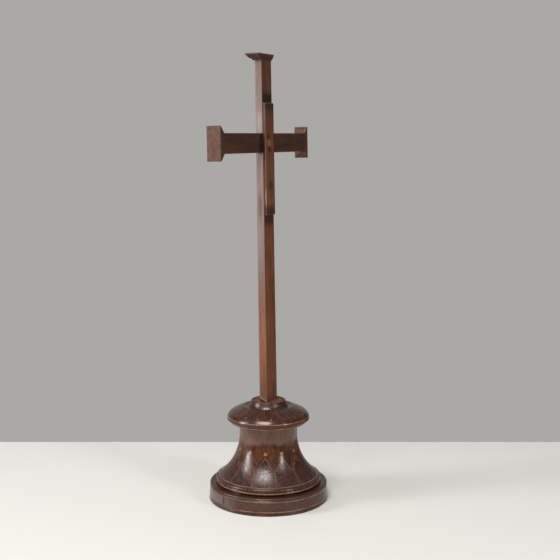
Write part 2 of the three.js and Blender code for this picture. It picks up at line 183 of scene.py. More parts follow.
def lathe(profile, level=0.0, closed=False, start=0.0, span=360.0):
    """A profile of radius, height and edge turned about the upright axis. A closed profile makes a hoop."""
    shape = blank_shape()
    whole = span == 360.0
    count = TURNED_SIDES if whole else TURNED_SIDES + 1
    turns = [math.radians(start + span * i / TURNED_SIDES) for i in range(count)]
    rows = []
    for radius, height, *edge in profile:
        z = height + level
        if radius == 0:
            rows.append([add_point(shape, (0, 0, z))] * count)
            continue
        rows.append([add_point(shape, (radius * math.cos(t), radius * math.sin(t), z), *edge) for t in turns])
    pairs = list(zip(rows, rows[1:])) + ([(rows[-1], rows[0])] if closed else [])
    for low, high in pairs:
        for i in range(count if whole else count - 1):
            j = (i + 1) % count
            corners = [low[i], low[j], high[j], high[i]]
            distinct = [v for k, v in enumerate(corners) if v not in corners[:k]]
            if len(distinct) > 2:
                shape.faces.new(distinct)
    if not whole:
        shape.faces.new([row[0] for row in rows])
        shape.faces.new([row[-1] for row in rows])
    return shape


class Slope:
    """The outline of a turning as points of radius and height, measured by the run along it."""

    def __init__(self, points):
        self.points = [Vector(p) for p in points]
        self.runs = [0.0]
        for a, b in zip(self.points, self.points[1:]):
            self.runs.append(self.runs[-1] + (b - a).length)

    def run_at(self, height):
        """The run from the outline's foot to a height."""
        for i, (a, b) in enumerate(zip(self.points, self.points[1:])):
            if a.y <= height <= b.y:
                return lerp(self.runs[i], self.runs[i + 1], (height - a.y) / (b.y - a.y))
        return self.runs[0] if height < self.points[0].y else self.runs[-1]

    def at(self, run):
        """The point at a run, and the direction out of the turning there."""
        index = 0
        while index < len(self.points) - 2 and self.runs[index + 1] < run:
            index += 1
        a, b = self.points[index], self.points[index + 1]
        share = (run - self.runs[index]) / (self.runs[index + 1] - self.runs[index])
        along = (b - a).normalized()
        return a.lerp(b, share), Vector((along.y, -along.x))

    def radius_at(self, height):
        return self.at(self.run_at(height))[0].x

    def place(self, run, turn, out=0.0):
        """The place at a run and a turn in radians, a little way out of the surface."""
        point, outward = self.at(run)
        point = point + outward * out
        return Vector((point.x * math.cos(turn), point.x * math.sin(turn), point.y))


def let_in(low, high, depth=LINE_DEPTH, border=0.18):
    """The closed profile of a line between two points of a surface, with its edges eased.

    The border is the share of its face, on each side, over which glue and dirt fade out.
    """
    (low_radius, bottom), (high_radius, top) = low, high
    floor = min(low_radius, high_radius) - depth
    face = [(low_radius + PROUD, bottom + SEAM + SEAM_EDGE), (high_radius + PROUD, top - SEAM - SEAM_EDGE)]
    inside = [tuple(Vector(face[0]).lerp(Vector(face[1]), share)) for share in (border, 1 - border)]
    return [
        (floor, bottom + SEAM, 1),
        (low_radius - SEAM_EDGE, bottom + SEAM, 1),
        (*face[0], 1),
        (*inside[0], 0),
        (*inside[1], 0),
        (*face[1], 1),
        (high_radius - SEAM_EDGE, top - SEAM, 1),
        (floor, top - SEAM, 1),
    ]


def groove(low, high, depth=LINE_DEPTH):
    """The open profile of the groove for such a line."""
    floor = min(low[0], high[0]) - depth
    return [low, (floor, low[1]), (floor, high[1]), high]


def patch(slope, height, turn, outline, level, fade=lambda y: 0.0):
    """An inlay that follows a turning, from its middle out to its eased edge and down to its floor.

    The fade gives how much dirt the inlay has at a place along the slope, apart from its edge.
    """
    shape = blank_shape()
    start = slope.run_at(height)
    radius = slope.radius_at(height)
    turn = math.radians(turn)

    def loop(scale, out, edge):
        return [
            add_point(
                shape,
                slope.place(start + y * scale, turn + x * scale / radius, out) + Vector((0, 0, level)),
                max(edge, fade(y * scale)),
            )
            for x, y in outline
        ]

    face = [loop(scale, PROUD, edge) for scale, edge in ((0.35, 0), (0.7, 0), (0.84, 0), (0.95, 1))]
    loops = [*face, loop(1, PROUD - SEAM_EDGE, 1), loop(1, -INLAY_DEPTH, 1)]
    count = len(outline)
    for low, high in zip(loops, loops[1:]):
        for i in range(count):
            shape.faces.new([low[i], low[(i + 1) % count], high[(i + 1) % count], high[i]])
    shape.faces.new(loops[0])
    shape.faces.new(loops[-1])
    return shape


def sweep(loops, edges=None):
    """A closed skin over loops of equally many points, with the points' edge values if there are any."""
    shape = blank_shape()
    edges = edges or [[0.0] * len(loop) for loop in loops]
    rows = [[add_point(shape, p, e) for p, e in zip(loop, marks)] for loop, marks in zip(loops, edges)]
    count = len(rows[0])
    for low, high in zip(rows, rows[1:]):
        for i in range(count):
            j = (i + 1) % count
            shape.faces.new([low[i], low[j], high[j], high[i]])
    shape.faces.new(rows[0])
    shape.faces.new(rows[-1])
    return shape


def box(left, right, front, back, bottom, top):
    """A block between six planes."""
    return sweep([
        [Vector((x, y, z)) for x, y in ((left, front), (right, front), (right, back), (left, back))]
        for z in (bottom, top)
    ])


def cut(shape, cutter):
    """What is left of one closed shape outside another, both in millimetres."""
    objects = []
    for mesh in (shape, cutter):
        bmesh.ops.recalc_face_normals(mesh, faces=mesh.faces)
        data = bpy.data.meshes.new("blank")
        mesh.to_mesh(data)
        mesh.free()
        objects.append(bpy.data.objects.new("blank", data))
        bpy.context.collection.objects.link(objects[-1])
    blank, tool = objects
    modifier = blank.modifiers.new("cut", "BOOLEAN")
    modifier.operation = "DIFFERENCE"
    modifier.solver = "EXACT"
    modifier.object = tool
    evaluated = blank.evaluated_get(bpy.context.evaluated_depsgraph_get())
    left = bmesh.new()
    left.from_mesh(evaluated.to_mesh())
    for leftover in objects:
        bpy.data.objects.remove(leftover)
    return left


def rounded_rectangle(left, right, front, back, radii, steps=4, wear=2.2):
    """Points round a rectangle from its front right corner, each with how worn it is.

    The wear fades out along the sides, over that many millimetres from each rounded corner.
    """
    corners = ((right, front, 1, -1), (right, back, 1, 1), (left, back, -1, 1), (left, front, -1, -1))
    points = []
    for (x, y, along, across), radius, first in zip(corners, radii, (-90, 0, 90, 180)):
        before, after = math.radians(first), math.radians(first + 90)
        arrive = Vector((math.sin(before), -math.cos(before)))
        leave = Vector((-math.sin(after), math.cos(after)))
        middle = (x - along * radius, y - across * radius)
        rim = [Vector(point) for point in arc(*middle, radius, radius, first, first + 90, steps)]
        points.append((*(rim[0] + arrive * wear), 0.0))
        points += [(*point, 1.0) for point in rim]
        points.append((*(rim[-1] + leave * wear), 0.0))
    return points


# Materials


class Nodes:
    """Short ways to add nodes to a tree. An input is a value or the socket that feeds it."""

    def __init__(self, tree):
        self.tree = tree

    def add(self, kind, inputs=None, **settings):
        node = self.tree.nodes.new(kind)
        for key, value in settings.items():
            setattr(node, key, value)
        for key, value in (inputs or {}).items():
            self.feed(node.inputs[key], value)
        return node

    def feed(self, socket, value):
        if isinstance(value, bpy.types.NodeSocket):
            self.tree.links.new(value, socket)
        elif value is not None:
            socket.default_value = value

    def math(self, operation, a, b=None):
        return self.add("ShaderNodeMath", {0: a, 1: b}, operation=operation).outputs[0]

    def times(self, a, b):
        return self.math("MULTIPLY", a, b)

    def blend(self, parts):
        """The weighted sum of some values."""
        total = None
        for value, weight in parts:
            part = self.times(value, weight)
            total = part if total is None else self.math("ADD", total, part)
        return total

    def vector_math(self, operation, a, b=None):
        """The outcome as a vector, or as a value where the operation gives one."""
        node = self.add("ShaderNodeVectorMath", {0: a, 1: b}, operation=operation)
        return node.outputs["Value" if operation in ("LENGTH", "DOT_PRODUCT") else "Vector"]

    def mix(self, factor, a, b, blend="MIX"):
        """Two colours mixed. Sockets 6, 7 and 2 are the node's colours."""
        a, b = ((*v, 1) if isinstance(v, tuple) else v for v in (a, b))
        node = self.add("ShaderNodeMix", {0: factor, 6: a, 7: b}, data_type="RGBA", blend_type=blend)
        return node.outputs[2]

    def shade(self, amount, colour, tint):
        """The colour taken towards its product with a tint."""
        return self.mix(amount, colour, tint, "MULTIPLY")

    def ramp(self, value, positions, colours):
        node = self.add("ShaderNodeValToRGB", {"Fac": value})
        points = node.color_ramp.elements
        while len(points) < len(positions):
            points.new(1)
        for point, position, colour in zip(points, positions, colours):
            point.position = position
            point.color = (*colour, 1)
        return node.outputs["Color"]

    def between(self, value, low, high, start=0.0, end=1.0):
        """A smooth step from start to end while the value goes from low to high."""
        inputs = {"Value": value, "From Min": low, "From Max": high, "To Min": start, "To Max": end}
        return self.add("ShaderNodeMapRange", inputs, interpolation_type="SMOOTHSTEP").outputs["Result"]


class Surface(Nodes):
    """A node material measured in millimetres, along the leaning cross where it is said to lean."""

    def __init__(self, name, lean=False):
        self.material = bpy.data.materials.new(name)
        self.material.use_nodes = True
        super().__init__(self.material.node_tree)
        self.shader = self.tree.nodes["Principled BSDF"]
        inputs = {
            "Vector": self.add("ShaderNodeTexCoord").outputs["Object"],
            "Location": (0, 0, CROSS_LEVEL * MM if lean else 0),
            "Rotation": (math.radians(CROSS_LEAN) if lean else 0, 0, 0),
            "Scale": (MM, MM, MM),
        }
        self.place = self.add("ShaderNodeMapping", inputs, vector_type="TEXTURE").outputs[0]
        self.edge = self.add("ShaderNodeAttribute", attribute_name="edge").outputs["Fac"]

    def scaled(self, scale):
        return self.add("ShaderNodeMapping", {"Vector": self.place, "Scale": scale}).outputs[0]

    def noise(self, place, size, detail=4.0, roughness=0.55, distortion=0.0):
        """Cloudy noise whose clouds are about that many millimetres wide."""
        inputs = {"Vector": place, "Scale": 1 / size, "Detail": detail, "Roughness": roughness,
                  "Distortion": distortion}
        return self.add("ShaderNodeTexNoise", inputs).outputs["Fac"]

    def blot(self, centre, reach, soft=0.4, ragged=0.5, size=7.0):
        """One inside an ellipsoid and none outside, with a soft and ragged border."""
        share = self.vector_math("DIVIDE", self.vector_math("SUBTRACT", self.place, centre), reach)
        rough = self.times(self.math("SUBTRACT", self.noise(self.place, size, 3), 0.5), ragged)
        return self.between(self.math("ADD", self.vector_math("LENGTH", share), rough), 1 + soft, 1 - soft)

    def bump(self, height, distance, strength=1.0, normal=None):
        """Relief, with its distance in metres."""
        inputs = {"Height": height, "Distance": distance, "Strength": strength, "Normal": normal}
        return self.add("ShaderNodeBump", inputs).outputs["Normal"]

    def finish(self, colour, roughness, normal, specular=0.5):
        self.feed(self.shader.inputs["Base Color"], colour)
        self.feed(self.shader.inputs["Roughness"], roughness)
        self.feed(self.shader.inputs["Normal"], normal)
        self.feed(self.shader.inputs["Specular IOR Level"], specular)
        return self.material


def timber(name, grain, tones, gloss=0.42, stains=(), painted_light_and_marks=(), wear=0.5):
    """Sawn and waxed wood with its grain along one axis of the leaning cross.

    A stain is a place, a reach, a tint and how soft its border is. An entry of painted light or a mark is
    the same, and is mixed in.
    """
    wood = Surface(name, lean=True)
    stretched = wood.scaled([0.06 if axis == grain else 1.0 for axis in "xyz"])
    streaks = wood.noise(stretched, 3.2, 6, 0.65, 0.3)
    bands = wood.noise(stretched, 13, 3, 0.5, 0.8)
    clouds = wood.noise(wood.place, 45, 3, 0.6)
    fine = wood.noise(wood.scaled([0.035 if axis == grain else 1.0 for axis in "xyz"]), 0.8, 3, 0.6)
    tone = wood.blend([(streaks, 0.42), (bands, 0.36), (clouds, 0.22)])
    colour = wood.ramp(tone, (0.38, 0.5, 0.63), tones)
    colour = wood.shade(wood.between(fine, 0.48, 0.3, 0, 0.5), colour, (0.35, 0.3, 0.3))
    for centre, reach, tint, soft in stains:
        colour = wood.shade(wood.blot(centre, reach, soft), colour, tint)
    shown = wood.between(streaks, 0.38, 0.6, 0.95, 0.68)
    for centre, reach, tint, soft in painted_light_and_marks:
        colour = wood.mix(wood.times(wood.blot(centre, reach, soft, 0.3), shown), colour, tint)
    # Edges are lighter where the edge mark is: rubbed wear, and painted highlights along the arrises.
    patches = wood.between(wood.noise(wood.place, 9, 4, 0.7), 0.4, 0.62, 0.15, wear)
    rubbed_and_highlit = tuple(1.5 * c + 0.02 for c in tones[2])
    colour = wood.mix(wood.times(wood.edge, patches), colour, rubbed_and_highlit)
    sheen = wood.blend([(streaks, 0.5), (clouds, 0.5)])
    roughness = wood.between(sheen, 0.35, 0.65, gloss + 0.09, gloss - 0.06)
    normal = wood.bump(fine, 0.00005, 0.4, wood.bump(streaks, 0.00016, 0.5))
    return wood.finish(colour, roughness, normal)


def ray_streaks(wood, colour, mottle, inner, outer):
    """Dark and light streaks that run outwards from the axis, with soft ends at two radii."""
    flat = wood.vector_math("MULTIPLY", wood.place, (1, 1, 0))
    radius = wood.vector_math("LENGTH", flat)
    around = wood.noise(wood.vector_math("NORMALIZE", flat), 0.035, 4, 0.6)
    streak = wood.ramp(around, (0.42, 0.49, 0.55), RAY_TONES)
    ragged = wood.math("ADD", radius, wood.times(mottle, 16))
    begun = wood.between(radius, inner - 3, inner + 5)
    reach = wood.times(begun, wood.between(ragged, outer + 16, outer + 4, 0, 0.9))
    return wood.mix(reach, colour, streak)


def plug_dirt(wood, colour, count, first, level, place_radius, plug_radius):
    """A ring of dirt round each of some evenly spaced round inlays, from the turn of the first."""
    apart = wood.add("ShaderNodeSeparateXYZ", {0: wood.place}).outputs
    turn = wood.math("ARCTAN2", apart["Y"], apart["X"])
    angle = wood.math("SUBTRACT", turn, math.radians(first) - math.tau)
    across = wood.times(wood.math("PINGPONG", angle, math.pi / count), place_radius)
    rise = wood.math("SUBTRACT", apart["Z"], level)
    squares = wood.math("ADD", wood.math("POWER", across, 2), wood.times(rise, rise))
    near = wood.between(wood.math("SQRT", squares), plug_radius + 2.2, plug_radius + 0.4, 0, 0.9)
    return wood.shade(near, colour, (0.25, 0.22, 0.22))


def level_bands(wood, colour, height, broad, tone, bands):
    """Zones of another colour between two heights, with ragged borders."""
    ragged = wood.math("ADD", height, wood.times(wood.math("SUBTRACT", broad, 0.5), 24))
    for low, high, soft, strength, tones in bands:
        above = wood.between(ragged, low - soft, low + soft)
        inside = wood.times(above, wood.between(ragged, high + soft, high - soft))
        zone = wood.ramp(tone, (0.42, 0.58), tones)
        colour = wood.mix(wood.times(inside, strength), colour, zone)
    return colour


def polished(name, tones, gloss=0.16, stretch=(1, 1, 0.45), cloud=16.0, bands=(), rays=None, plugs=None,
             painted_light_and_dirt=(), specular=0.5):
    """Turned wood under an old polish: cloudy figure, fine streaks up the slope and a slightly uneven skin.

    A band is two heights, how soft its borders are, how strong it is and its dark and light tones. Rays
    are two radii. Plugs are a count of round inlays, the turn of the first, their height, the radius that
    they sit at and their own radius. An entry of painted light or dirt is a place, a reach, a tint and how
    soft its border is, and is half mixed in. Wood with bands is duller below the first of them.
    """
    wood = Surface(name)
    place = wood.scaled(stretch)
    broad = wood.noise(place, cloud, 5, 0.6, 1.2)
    mottle = wood.noise(place, 4.5, 5, 0.65, 0.8)
    fine = wood.noise(place, 0.9, 3, 0.6)
    tone = wood.blend([(broad, 0.58), (mottle, 0.26), (fine, 0.16)])
    colour = wood.ramp(tone, (0.39, 0.5, 0.62), tones)
    colour = wood.shade(wood.between(fine, 0.42, 0.3, 0, 0.5), colour, (0.4, 0.35, 0.35))
    if rays:
        colour = ray_streaks(wood, colour, mottle, *rays)
    if plugs:
        colour = plug_dirt(wood, colour, *plugs)
    for centre, reach, tint, soft in painted_light_and_dirt:
        colour = wood.mix(wood.times(wood.blot(centre, reach, soft), 0.5), colour, tint)
    sheen = wood.blend([(wood.noise(wood.place, 24, 4, 0.6), 0.6), (mottle, 0.4)])
    roughness = wood.between(sheen, 0.38, 0.64, gloss - 0.03, gloss + 0.1)
    if bands:
        height = wood.add("ShaderNodeSeparateXYZ", {0: wood.place}).outputs["Z"]
        colour = level_bands(wood, colour, height, broad, tone, bands)
        lowest = bands[0][0]
        below = wood.between(height, lowest + 5, lowest - 20)
        dulled = wood.times(below, wood.between(mottle, 0.35, 0.65, 0.3, 1.7))
        roughness = wood.math("ADD", roughness, wood.times(dulled, 0.1))
    skin = wood.bump(wood.noise(wood.place, 7, 2, 0.5), 0.0002, 0.35)
    normal = wood.bump(fine, 0.00006, 0.3, wood.bump(mottle, 0.00012, 0.4, skin))
    return wood.finish(colour, roughness, normal, specular)


def let_in_wood(name, light, dark, patchy=0.0, gloss=0.18, stains=()):
    """Light wood let into the turnings, with glue and dirt along its edges, duller stretches and stains."""
    wood = Surface(name)
    tone = wood.blend([(wood.noise(wood.place, 3.5, 4, 0.6), 0.6), (wood.noise(wood.place, 20, 3), 0.4)])
    colour = wood.mix(wood.between(tone, 0.4, 0.62), light, tuple(0.62 * c for c in light))
    for centre, reach, tint, soft in stains:
        colour = wood.shade(wood.blot(centre, reach, soft), colour, tint)
    if patchy:
        stretches = wood.noise(wood.place, 38, 3, 0.6)
        colour = wood.shade(wood.between(stretches, 0.45, 0.6, 0, patchy), colour, (0.5, 0.42, 0.42))
    dirt = wood.math("MAXIMUM", wood.between(wood.edge, 0.15, 0.85), wood.between(tone, 0.62, 0.72, 0, 0.7))
    colour = wood.mix(dirt, colour, dark)
    roughness = wood.between(tone, 0.35, 0.65, gloss - 0.04, gloss + 0.08)
    return wood.finish(colour, roughness, wood.bump(tone, 0.0001, 0.4))


def plain_stage(name, colour):
    """A dull even colour with a faint cloudiness."""
    plain = Surface(name)
    soft = plain.between(plain.noise(plain.place, 320, 2), 0.3, 0.7, 0, 0.25)
    return plain.finish(plain.mix(soft, colour, tuple(0.96 * c for c in colour)), 0.6, None)


# Colours of the turned foot, from dark to light, and the places of its orange zone and of the painted
# reflection and painted light on its neck
RED_BROWN = ((0.025, 0.0095, 0.006), (0.042, 0.0155, 0.009), (0.075, 0.026, 0.012))
NECK_REFLECTION_TONES = ((0.108, 0.045, 0.025), (0.162, 0.069, 0.037))
ORANGE_FIGURE = ((0.04, 0.015, 0.009), (0.14, 0.052, 0.022))
VENEER_TONES = ((0.031, 0.0115, 0.0065), (0.054, 0.0185, 0.0095), (0.083, 0.029, 0.015))
WORN_TOP = ((0.05, 0.024, 0.014), (0.1, 0.048, 0.028), (0.17, 0.08, 0.043))
RAY_TONES = ((0.12, 0.042, 0.017), (0.028, 0.011, 0.006), (0.006, 0.003, 0.002))
JOINT_DIRT = (0.006, 0.004, 0.003)
GLUE_BROWN = (0.05, 0.02, 0.01)
ORANGE_BAND = (90, 121)
NECK_REFLECTION_BAND = (122, 158)
RAY_RADII = (43, 57)
LIT_NECK_RADIUS = 58
LIT_NECK_MIDDLE = Vector((0, 0, 124))
PLINTH_RIM = 116

boss_wood = polished("boss wood", RED_BROWN, 0.31)
plinth_wood = polished("plinth wood", RED_BROWN, 0.28)
collar_wood = polished("collar wood", RED_BROWN, 0.19, rays=RAY_RADII)
worn_top_wood = polished("worn top wood", WORN_TOP, 0.56, specular=0.15)
# The pale band up the neck is a painted reflection of the pale table top.
bell_wood = polished("bell wood", RED_BROWN, bands=[
    (*ORANGE_BAND, 11, 0.6, ORANGE_FIGURE),
    (*NECK_REFLECTION_BAND, 4, 0.85, NECK_REFLECTION_TONES),
], plugs=(DOT_COUNT, DOT_TURN, BELL_LEVEL + DOT_HEIGHT, DOT_PLACE_RADIUS, DOT_RADIUS), painted_light_and_dirt=[
    # The neck's left and right are lighter: painted light from the two windows.
    (view_direction(turn) * LIT_NECK_RADIUS + LIT_NECK_MIDDLE, (width, width, 24), tint, 0.4)
    for turn, width, tint in ((-66, 31, (0.19, 0.105, 0.068)), (62, 29, (0.185, 0.102, 0.066)))
])
veneer_wood = polished("veneer", VENEER_TONES, 0.24, (1, 1, 5), 30, painted_light_and_dirt=[
    # Lighter on the side towards the left window: painted sheen. Darker along the butt joint: dirt.
    (view_direction(-66) * PLINTH_RIM, (52, 52, 60), (0.17, 0.115, 0.095), 0.5),
    (VENEER_JOINT_PLACE, (2.2, 2.2, 11), JOINT_DIRT, 0.5),
    (VENEER_JOINT_PLACE, (1.6, 1.6, 13), JOINT_DIRT, 0.4),
])
stringing = let_in_wood("stringing", (0.34, 0.14, 0.06), GLUE_BROWN, 0.6)
# A brighter copy of the stringing for the collar's lower line, which lies in the shade under the collar:
# painted light.
painted_light_stringing = let_in_wood("painted light stringing", (0.46, 0.22, 0.11), GLUE_BROWN, 0.4)
worn_stringing = let_in_wood("worn stringing", (0.35, 0.16, 0.078), (0.04, 0.017, 0.01), 0.9, stains=[
    # The lines are darker and greyer on the side towards the left window.
    (view_direction(-78) * PLINTH_RIM, (60, 60, 60), (0.4, 0.5, 0.62), 0.2),
])
inlay = let_in_wood("inlay", (0.3, 0.14, 0.065), (0.03, 0.013, 0.008), 0.6)
drop_inlay = let_in_wood("drop inlay", (0.18, 0.09, 0.048), (0.025, 0.011, 0.007), 0.8)
thin_inlay = let_in_wood("thin inlay", (0.2, 0.122, 0.085), (0.03, 0.015, 0.01), 0.6)

# Colours of the cross, and where its stains, painted light and marks sit. Those that reach ALL have no
# end that way.
POST_TONES = ((0.088, 0.03, 0.012), (0.165, 0.057, 0.023), (0.24, 0.092, 0.04))
ARM_TONES = ((0.03, 0.011, 0.0065), (0.055, 0.021, 0.0115), (0.094, 0.037, 0.019))
BATTEN_TONES = ((0.073, 0.026, 0.012), (0.135, 0.049, 0.0215), (0.21, 0.082, 0.037))
END_TONES = ((0.04, 0.015, 0.009), (0.07, 0.027, 0.015), (0.105, 0.043, 0.024))
FAR_TONES = ((0.043, 0.017, 0.01), (0.078, 0.031, 0.0165), (0.122, 0.052, 0.028))
TOP_TONES = ((0.028, 0.01, 0.0055), (0.049, 0.017, 0.009), (0.085, 0.032, 0.017))
STAIN_DARK = (0.3, 0.3, 0.34)
STAIN_GREY = (0.42, 0.4, 0.42)
CROSSING_SHADE = (0.16, 0.22, 0.32)
ALL = 100000.0
POST_SIDE = 21
POST_FOOT_SIDE = 21.5
BATTEN_SIDE = 18
BATTEN_FACE = BACK + 5
FOOT_SCRATCH = [
    ((POST_FOOT_SIDE, lerp(-6, 7, i / 4), lerp(8.5, 0.8, i / 4)), (3, 2.2, 1.1), (0.32, 0.19, 0.125), 0.3)
    for i in range(5)
]

post_wood = timber("post wood", "z", POST_TONES, 0.38, stains=[
    ((0, BACK, 650), (ALL, ALL, 80), (0.62, 0.72, 0.85), 0.1),
    ((0, BACK, 574), (ALL, 3, 15), STAIN_DARK, 0.5),
    ((0, BACK, 357), (ALL, 3, 14), STAIN_GREY, 0.5),
    # Painted shade on the lit side, just above the arm.
    ((POST_SIDE, -3, 522), (4, 8, 5), (0.5, 0.45, 0.45), 0.5),
    ((-8, BACK, 24), (7, 3, 13), (0.55, 0.5, 0.5), 0.5),
    ((22, 0, -10), (3, ALL, 75), (0.6, 0.6, 0.62), 0.5),
    ((POST_FOOT_SIDE, -9, 0), (3, 14, 8.5), (0.35, 0.3, 0.32), 0.15),
], painted_light_and_marks=[
    # Painted sheen of the left window down the lit side, more of it around the arm's height, and a painted
    # highlight by the back edge above the arm; then a browner patch and scratches at the foot.
    ((POST_SIDE, 0, 700), (2.4, ALL, 500), (0.165, 0.116, 0.105), 0.25),
    ((POST_SIDE, 0, 430), (2.4, ALL, 150), (0.25, 0.19, 0.186), 0.6),
    ((POST_SIDE, 3, 535), (2.4, 5, 20), (0.31, 0.25, 0.25), 0.5),
    ((POST_SIDE, 1, 376), (2.4, 4.5, 24), (0.15, 0.075, 0.048), 0.7),
    *FOOT_SCRATCH,
], wear=0.25)
arm_wood = timber("arm wood", "x", ARM_TONES, 0.45, stains=[
    # Both darken the arm's back beside the batten: painted shade in the corners of the crossing.
    ((25, BACK, ARM_HEIGHT), (8, 3, ALL), CROSSING_SHADE, 0.3),
    ((-24, BACK, ARM_HEIGHT), (7, 3, ALL), (0.5, 0.55, 0.65), 0.4),
])
end_wood = timber("end wood", "z", END_TONES, 0.62, stains=[
    # Painted shade on the back face of the near end block, which faces away from the light.
    ((ARM_SPAN / 2, BACK, ARM_HEIGHT), (14, 1.2, ALL), (0.72, 0.72, 0.75), 0.3),
])
far_end_wood = timber("far end wood", "z", FAR_TONES, 0.5)
top_wood = timber("top wood", "x", TOP_TONES, 0.5)
batten_wood = timber("batten wood", "z", BATTEN_TONES, 0.5, stains=[
    ((0, BATTEN_FACE, 572), (ALL, ALL, 18), (0.3, 0.33, 0.4), 0.6),
    ((0, BATTEN_FACE, 360), (ALL, ALL, 17), (0.3, 0.32, 0.37), 0.5),
    ((5, BATTEN_FACE, 509), (6, 3, 4.5), STAIN_GREY, 0.4),
    ((2, BATTEN_FACE, 485), (8, 3, 5), STAIN_GREY, 0.4),
    ((0, BATTEN_FACE, SCREW_HEIGHT), (8, 3, 10), (0.5, 0.5, 0.52), 0.6),
    ((BATTEN_SIDE, BACK, ARM_HEIGHT - 12), (2, 4, 34), CROSSING_SHADE, 0.3),
], painted_light_and_marks=[
    ((3, BATTEN_FACE, 497), (6, 3, 6.5), (0.22, 0.09, 0.04), 0.35),
    # Painted sheen on the batten's lit side above the arm, and a painted highlight along its outer edge lower
    # down.
    ((BATTEN_SIDE, BACK, 545), (1.5, 6, 30), (0.09, 0.068, 0.062), 0.5),
    ((BATTEN_SIDE, BACK + 4.6, 396), (0.8, 1.4, 17), (0.36, 0.31, 0.29), 0.3),
], wear=0.35)

# The screw is dull and cloudy with rust.
screw_metal = polished("screw", ((0.03, 0.02, 0.015), (0.045, 0.03, 0.022), (0.065, 0.045, 0.035)), 0.5)


# The turned foot. Each turning has its heights above its own level.


def make_ring(turning, edge, low, high, level, material, border=0.18):
    """A light ring let into a turning between two points of its outline."""
    shape = lathe(let_in(low, high, border=border), level, closed=True)
    make_piece(f"{turning}_ring_{edge}", shape, material, f"{turning}_line_{edge}")


PLINTH_WALL_FOOT = (116.2, 6.2)
PLINTH_WALL_TOP = (114.7, 28.9)
PLINTH_LINES = ((6.75, 9.25), (25.65, 28.15))
PLINTH_TOP = BELL_LEVEL - JOINT_GAP
SOCKET_RADIUS = FOOT_SPIGOT_RADIUS + JOINT_GAP
SOCKET_FLOOR = PLINTH_TOP - FOOT_SPIGOT_LENGTH


def plinth_wall(height):
    """The point at a height on the plinth's wall, which leans in."""
    (low_radius, bottom), (high_radius, top) = PLINTH_WALL_FOOT, PLINTH_WALL_TOP
    return lerp(low_radius, high_radius, (height - bottom) / (top - bottom)), height


plinth_line_lower, plinth_line_upper = [[plinth_wall(height) for height in line] for line in PLINTH_LINES]
veneer_wall = (plinth_line_lower[1], plinth_line_upper[0])
make_piece(
    "plinth_core",
    lathe(
        [(0, 0)]
        + arc(115.1, 3.1, 1.6, 3.1, -90, 50, 10)
        + [PLINTH_WALL_FOOT]
        + groove(*plinth_line_lower)[:3]
        + groove(*veneer_wall, VENEER_DEPTH)[1:3]
        + groove(*plinth_line_upper)[1:]
        + [PLINTH_WALL_TOP]
        + arc(111.9, 31.4, 3.1, 2.5, -45, 135, 14)
        + [(108.9, 33.3), (108.2, PLINTH_TOP), (SOCKET_RADIUS, PLINTH_TOP)]
        + [(SOCKET_RADIUS, SOCKET_FLOOR), (0, SOCKET_FLOOR)]
    ),
    plinth_wood, "plinth",
)
make_ring("plinth", "lower", *plinth_line_lower, 0, worn_stringing, 0.3)
make_ring("plinth", "upper", *plinth_line_upper, 0, worn_stringing, 0.34)
make_piece(
    "plinth_band",
    lathe(
        let_in(*veneer_wall, VENEER_DEPTH), closed=True,
        start=VENEER_JOINT_TURN + VENEER_JOINT_WIDTH / 2, span=360 - VENEER_JOINT_WIDTH,
    ),
    veneer_wood, "plinth_veneer",
)

NECK_RADIUS = 55.1
FLANK_FOOT = (98.2, 13.9)
FLANK_FOOT_SLOPE = math.radians(38)
FLANK_FOOT_PULL = 42.3
FLANK_TOP_PULL = 48.4
FLANK_LINE = (14.2, 16.0)
LIP_LINE = ((102.5, 3.7), (102.5, 6.9))
LIP_INNER_RADIUS = 98.4

# How the neck opens upwards: over how many millimetres below its top, by how much and how steeply
NECK_OPENINGS = ((32, 2.4, 1.4), (9, 1.9, 2))


def neck_opening(height):
    """How much wider than the bare curve the neck is: it opens slowly, and in a small cove at its top."""
    depth = NECK_TOP - height
    return sum(gain * (max(0.0, reach - depth) / reach) ** power for reach, gain, power in NECK_OPENINGS)


FLANK_FOOT_RADIUS, FLANK_FOOT_HEIGHT = FLANK_FOOT
FLANK = [
    (radius + neck_opening(height), height)
    for radius, height in bezier(
        FLANK_FOOT,
        (FLANK_FOOT_RADIUS - FLANK_FOOT_PULL * math.cos(FLANK_FOOT_SLOPE),
         FLANK_FOOT_HEIGHT + FLANK_FOOT_PULL * math.sin(FLANK_FOOT_SLOPE)),
        (NECK_RADIUS, NECK_TOP - FLANK_TOP_PULL), (NECK_RADIUS, NECK_TOP), 90,
    )
]
flank = Slope(FLANK)
flank_line = [(flank.radius_at(height), height) for height in FLANK_LINE]
SPIGOT_TOP = NECK_TOP + HEAD_SPIGOT_LENGTH
make_piece(
    "bell_body",
    lathe(
        [(0, -FOOT_SPIGOT_LENGTH), (FOOT_SPIGOT_RADIUS, -FOOT_SPIGOT_LENGTH), (FOOT_SPIGOT_RADIUS, 0)]
        + [(LIP_INNER_RADIUS, 0)]
        + arc(LIP_INNER_RADIUS + 3.7, 1.4, 3.7, 2, 180, 90, 10)
        + groove(*LIP_LINE)
        + arc(99.4, 9.9, 3.1, 3.5, -30, 90, 12)
        + [(LIP_INNER_RADIUS, 13.55), FLANK[0]]
        + groove(*flank_line)
        + [point for point in FLANK if point[1] > FLANK_LINE[1] + 0.2]
        + [(HEAD_SPIGOT_RADIUS, NECK_TOP), (HEAD_SPIGOT_RADIUS, SPIGOT_TOP), (0, SPIGOT_TOP)],
        BELL_LEVEL,
    ),
    bell_wood, "bell",
)
make_ring("bell", "lower", *LIP_LINE, BELL_LEVEL, stringing)
make_ring("bell", "upper", *flank_line, BELL_LEVEL, thin_inlay, 0.36)

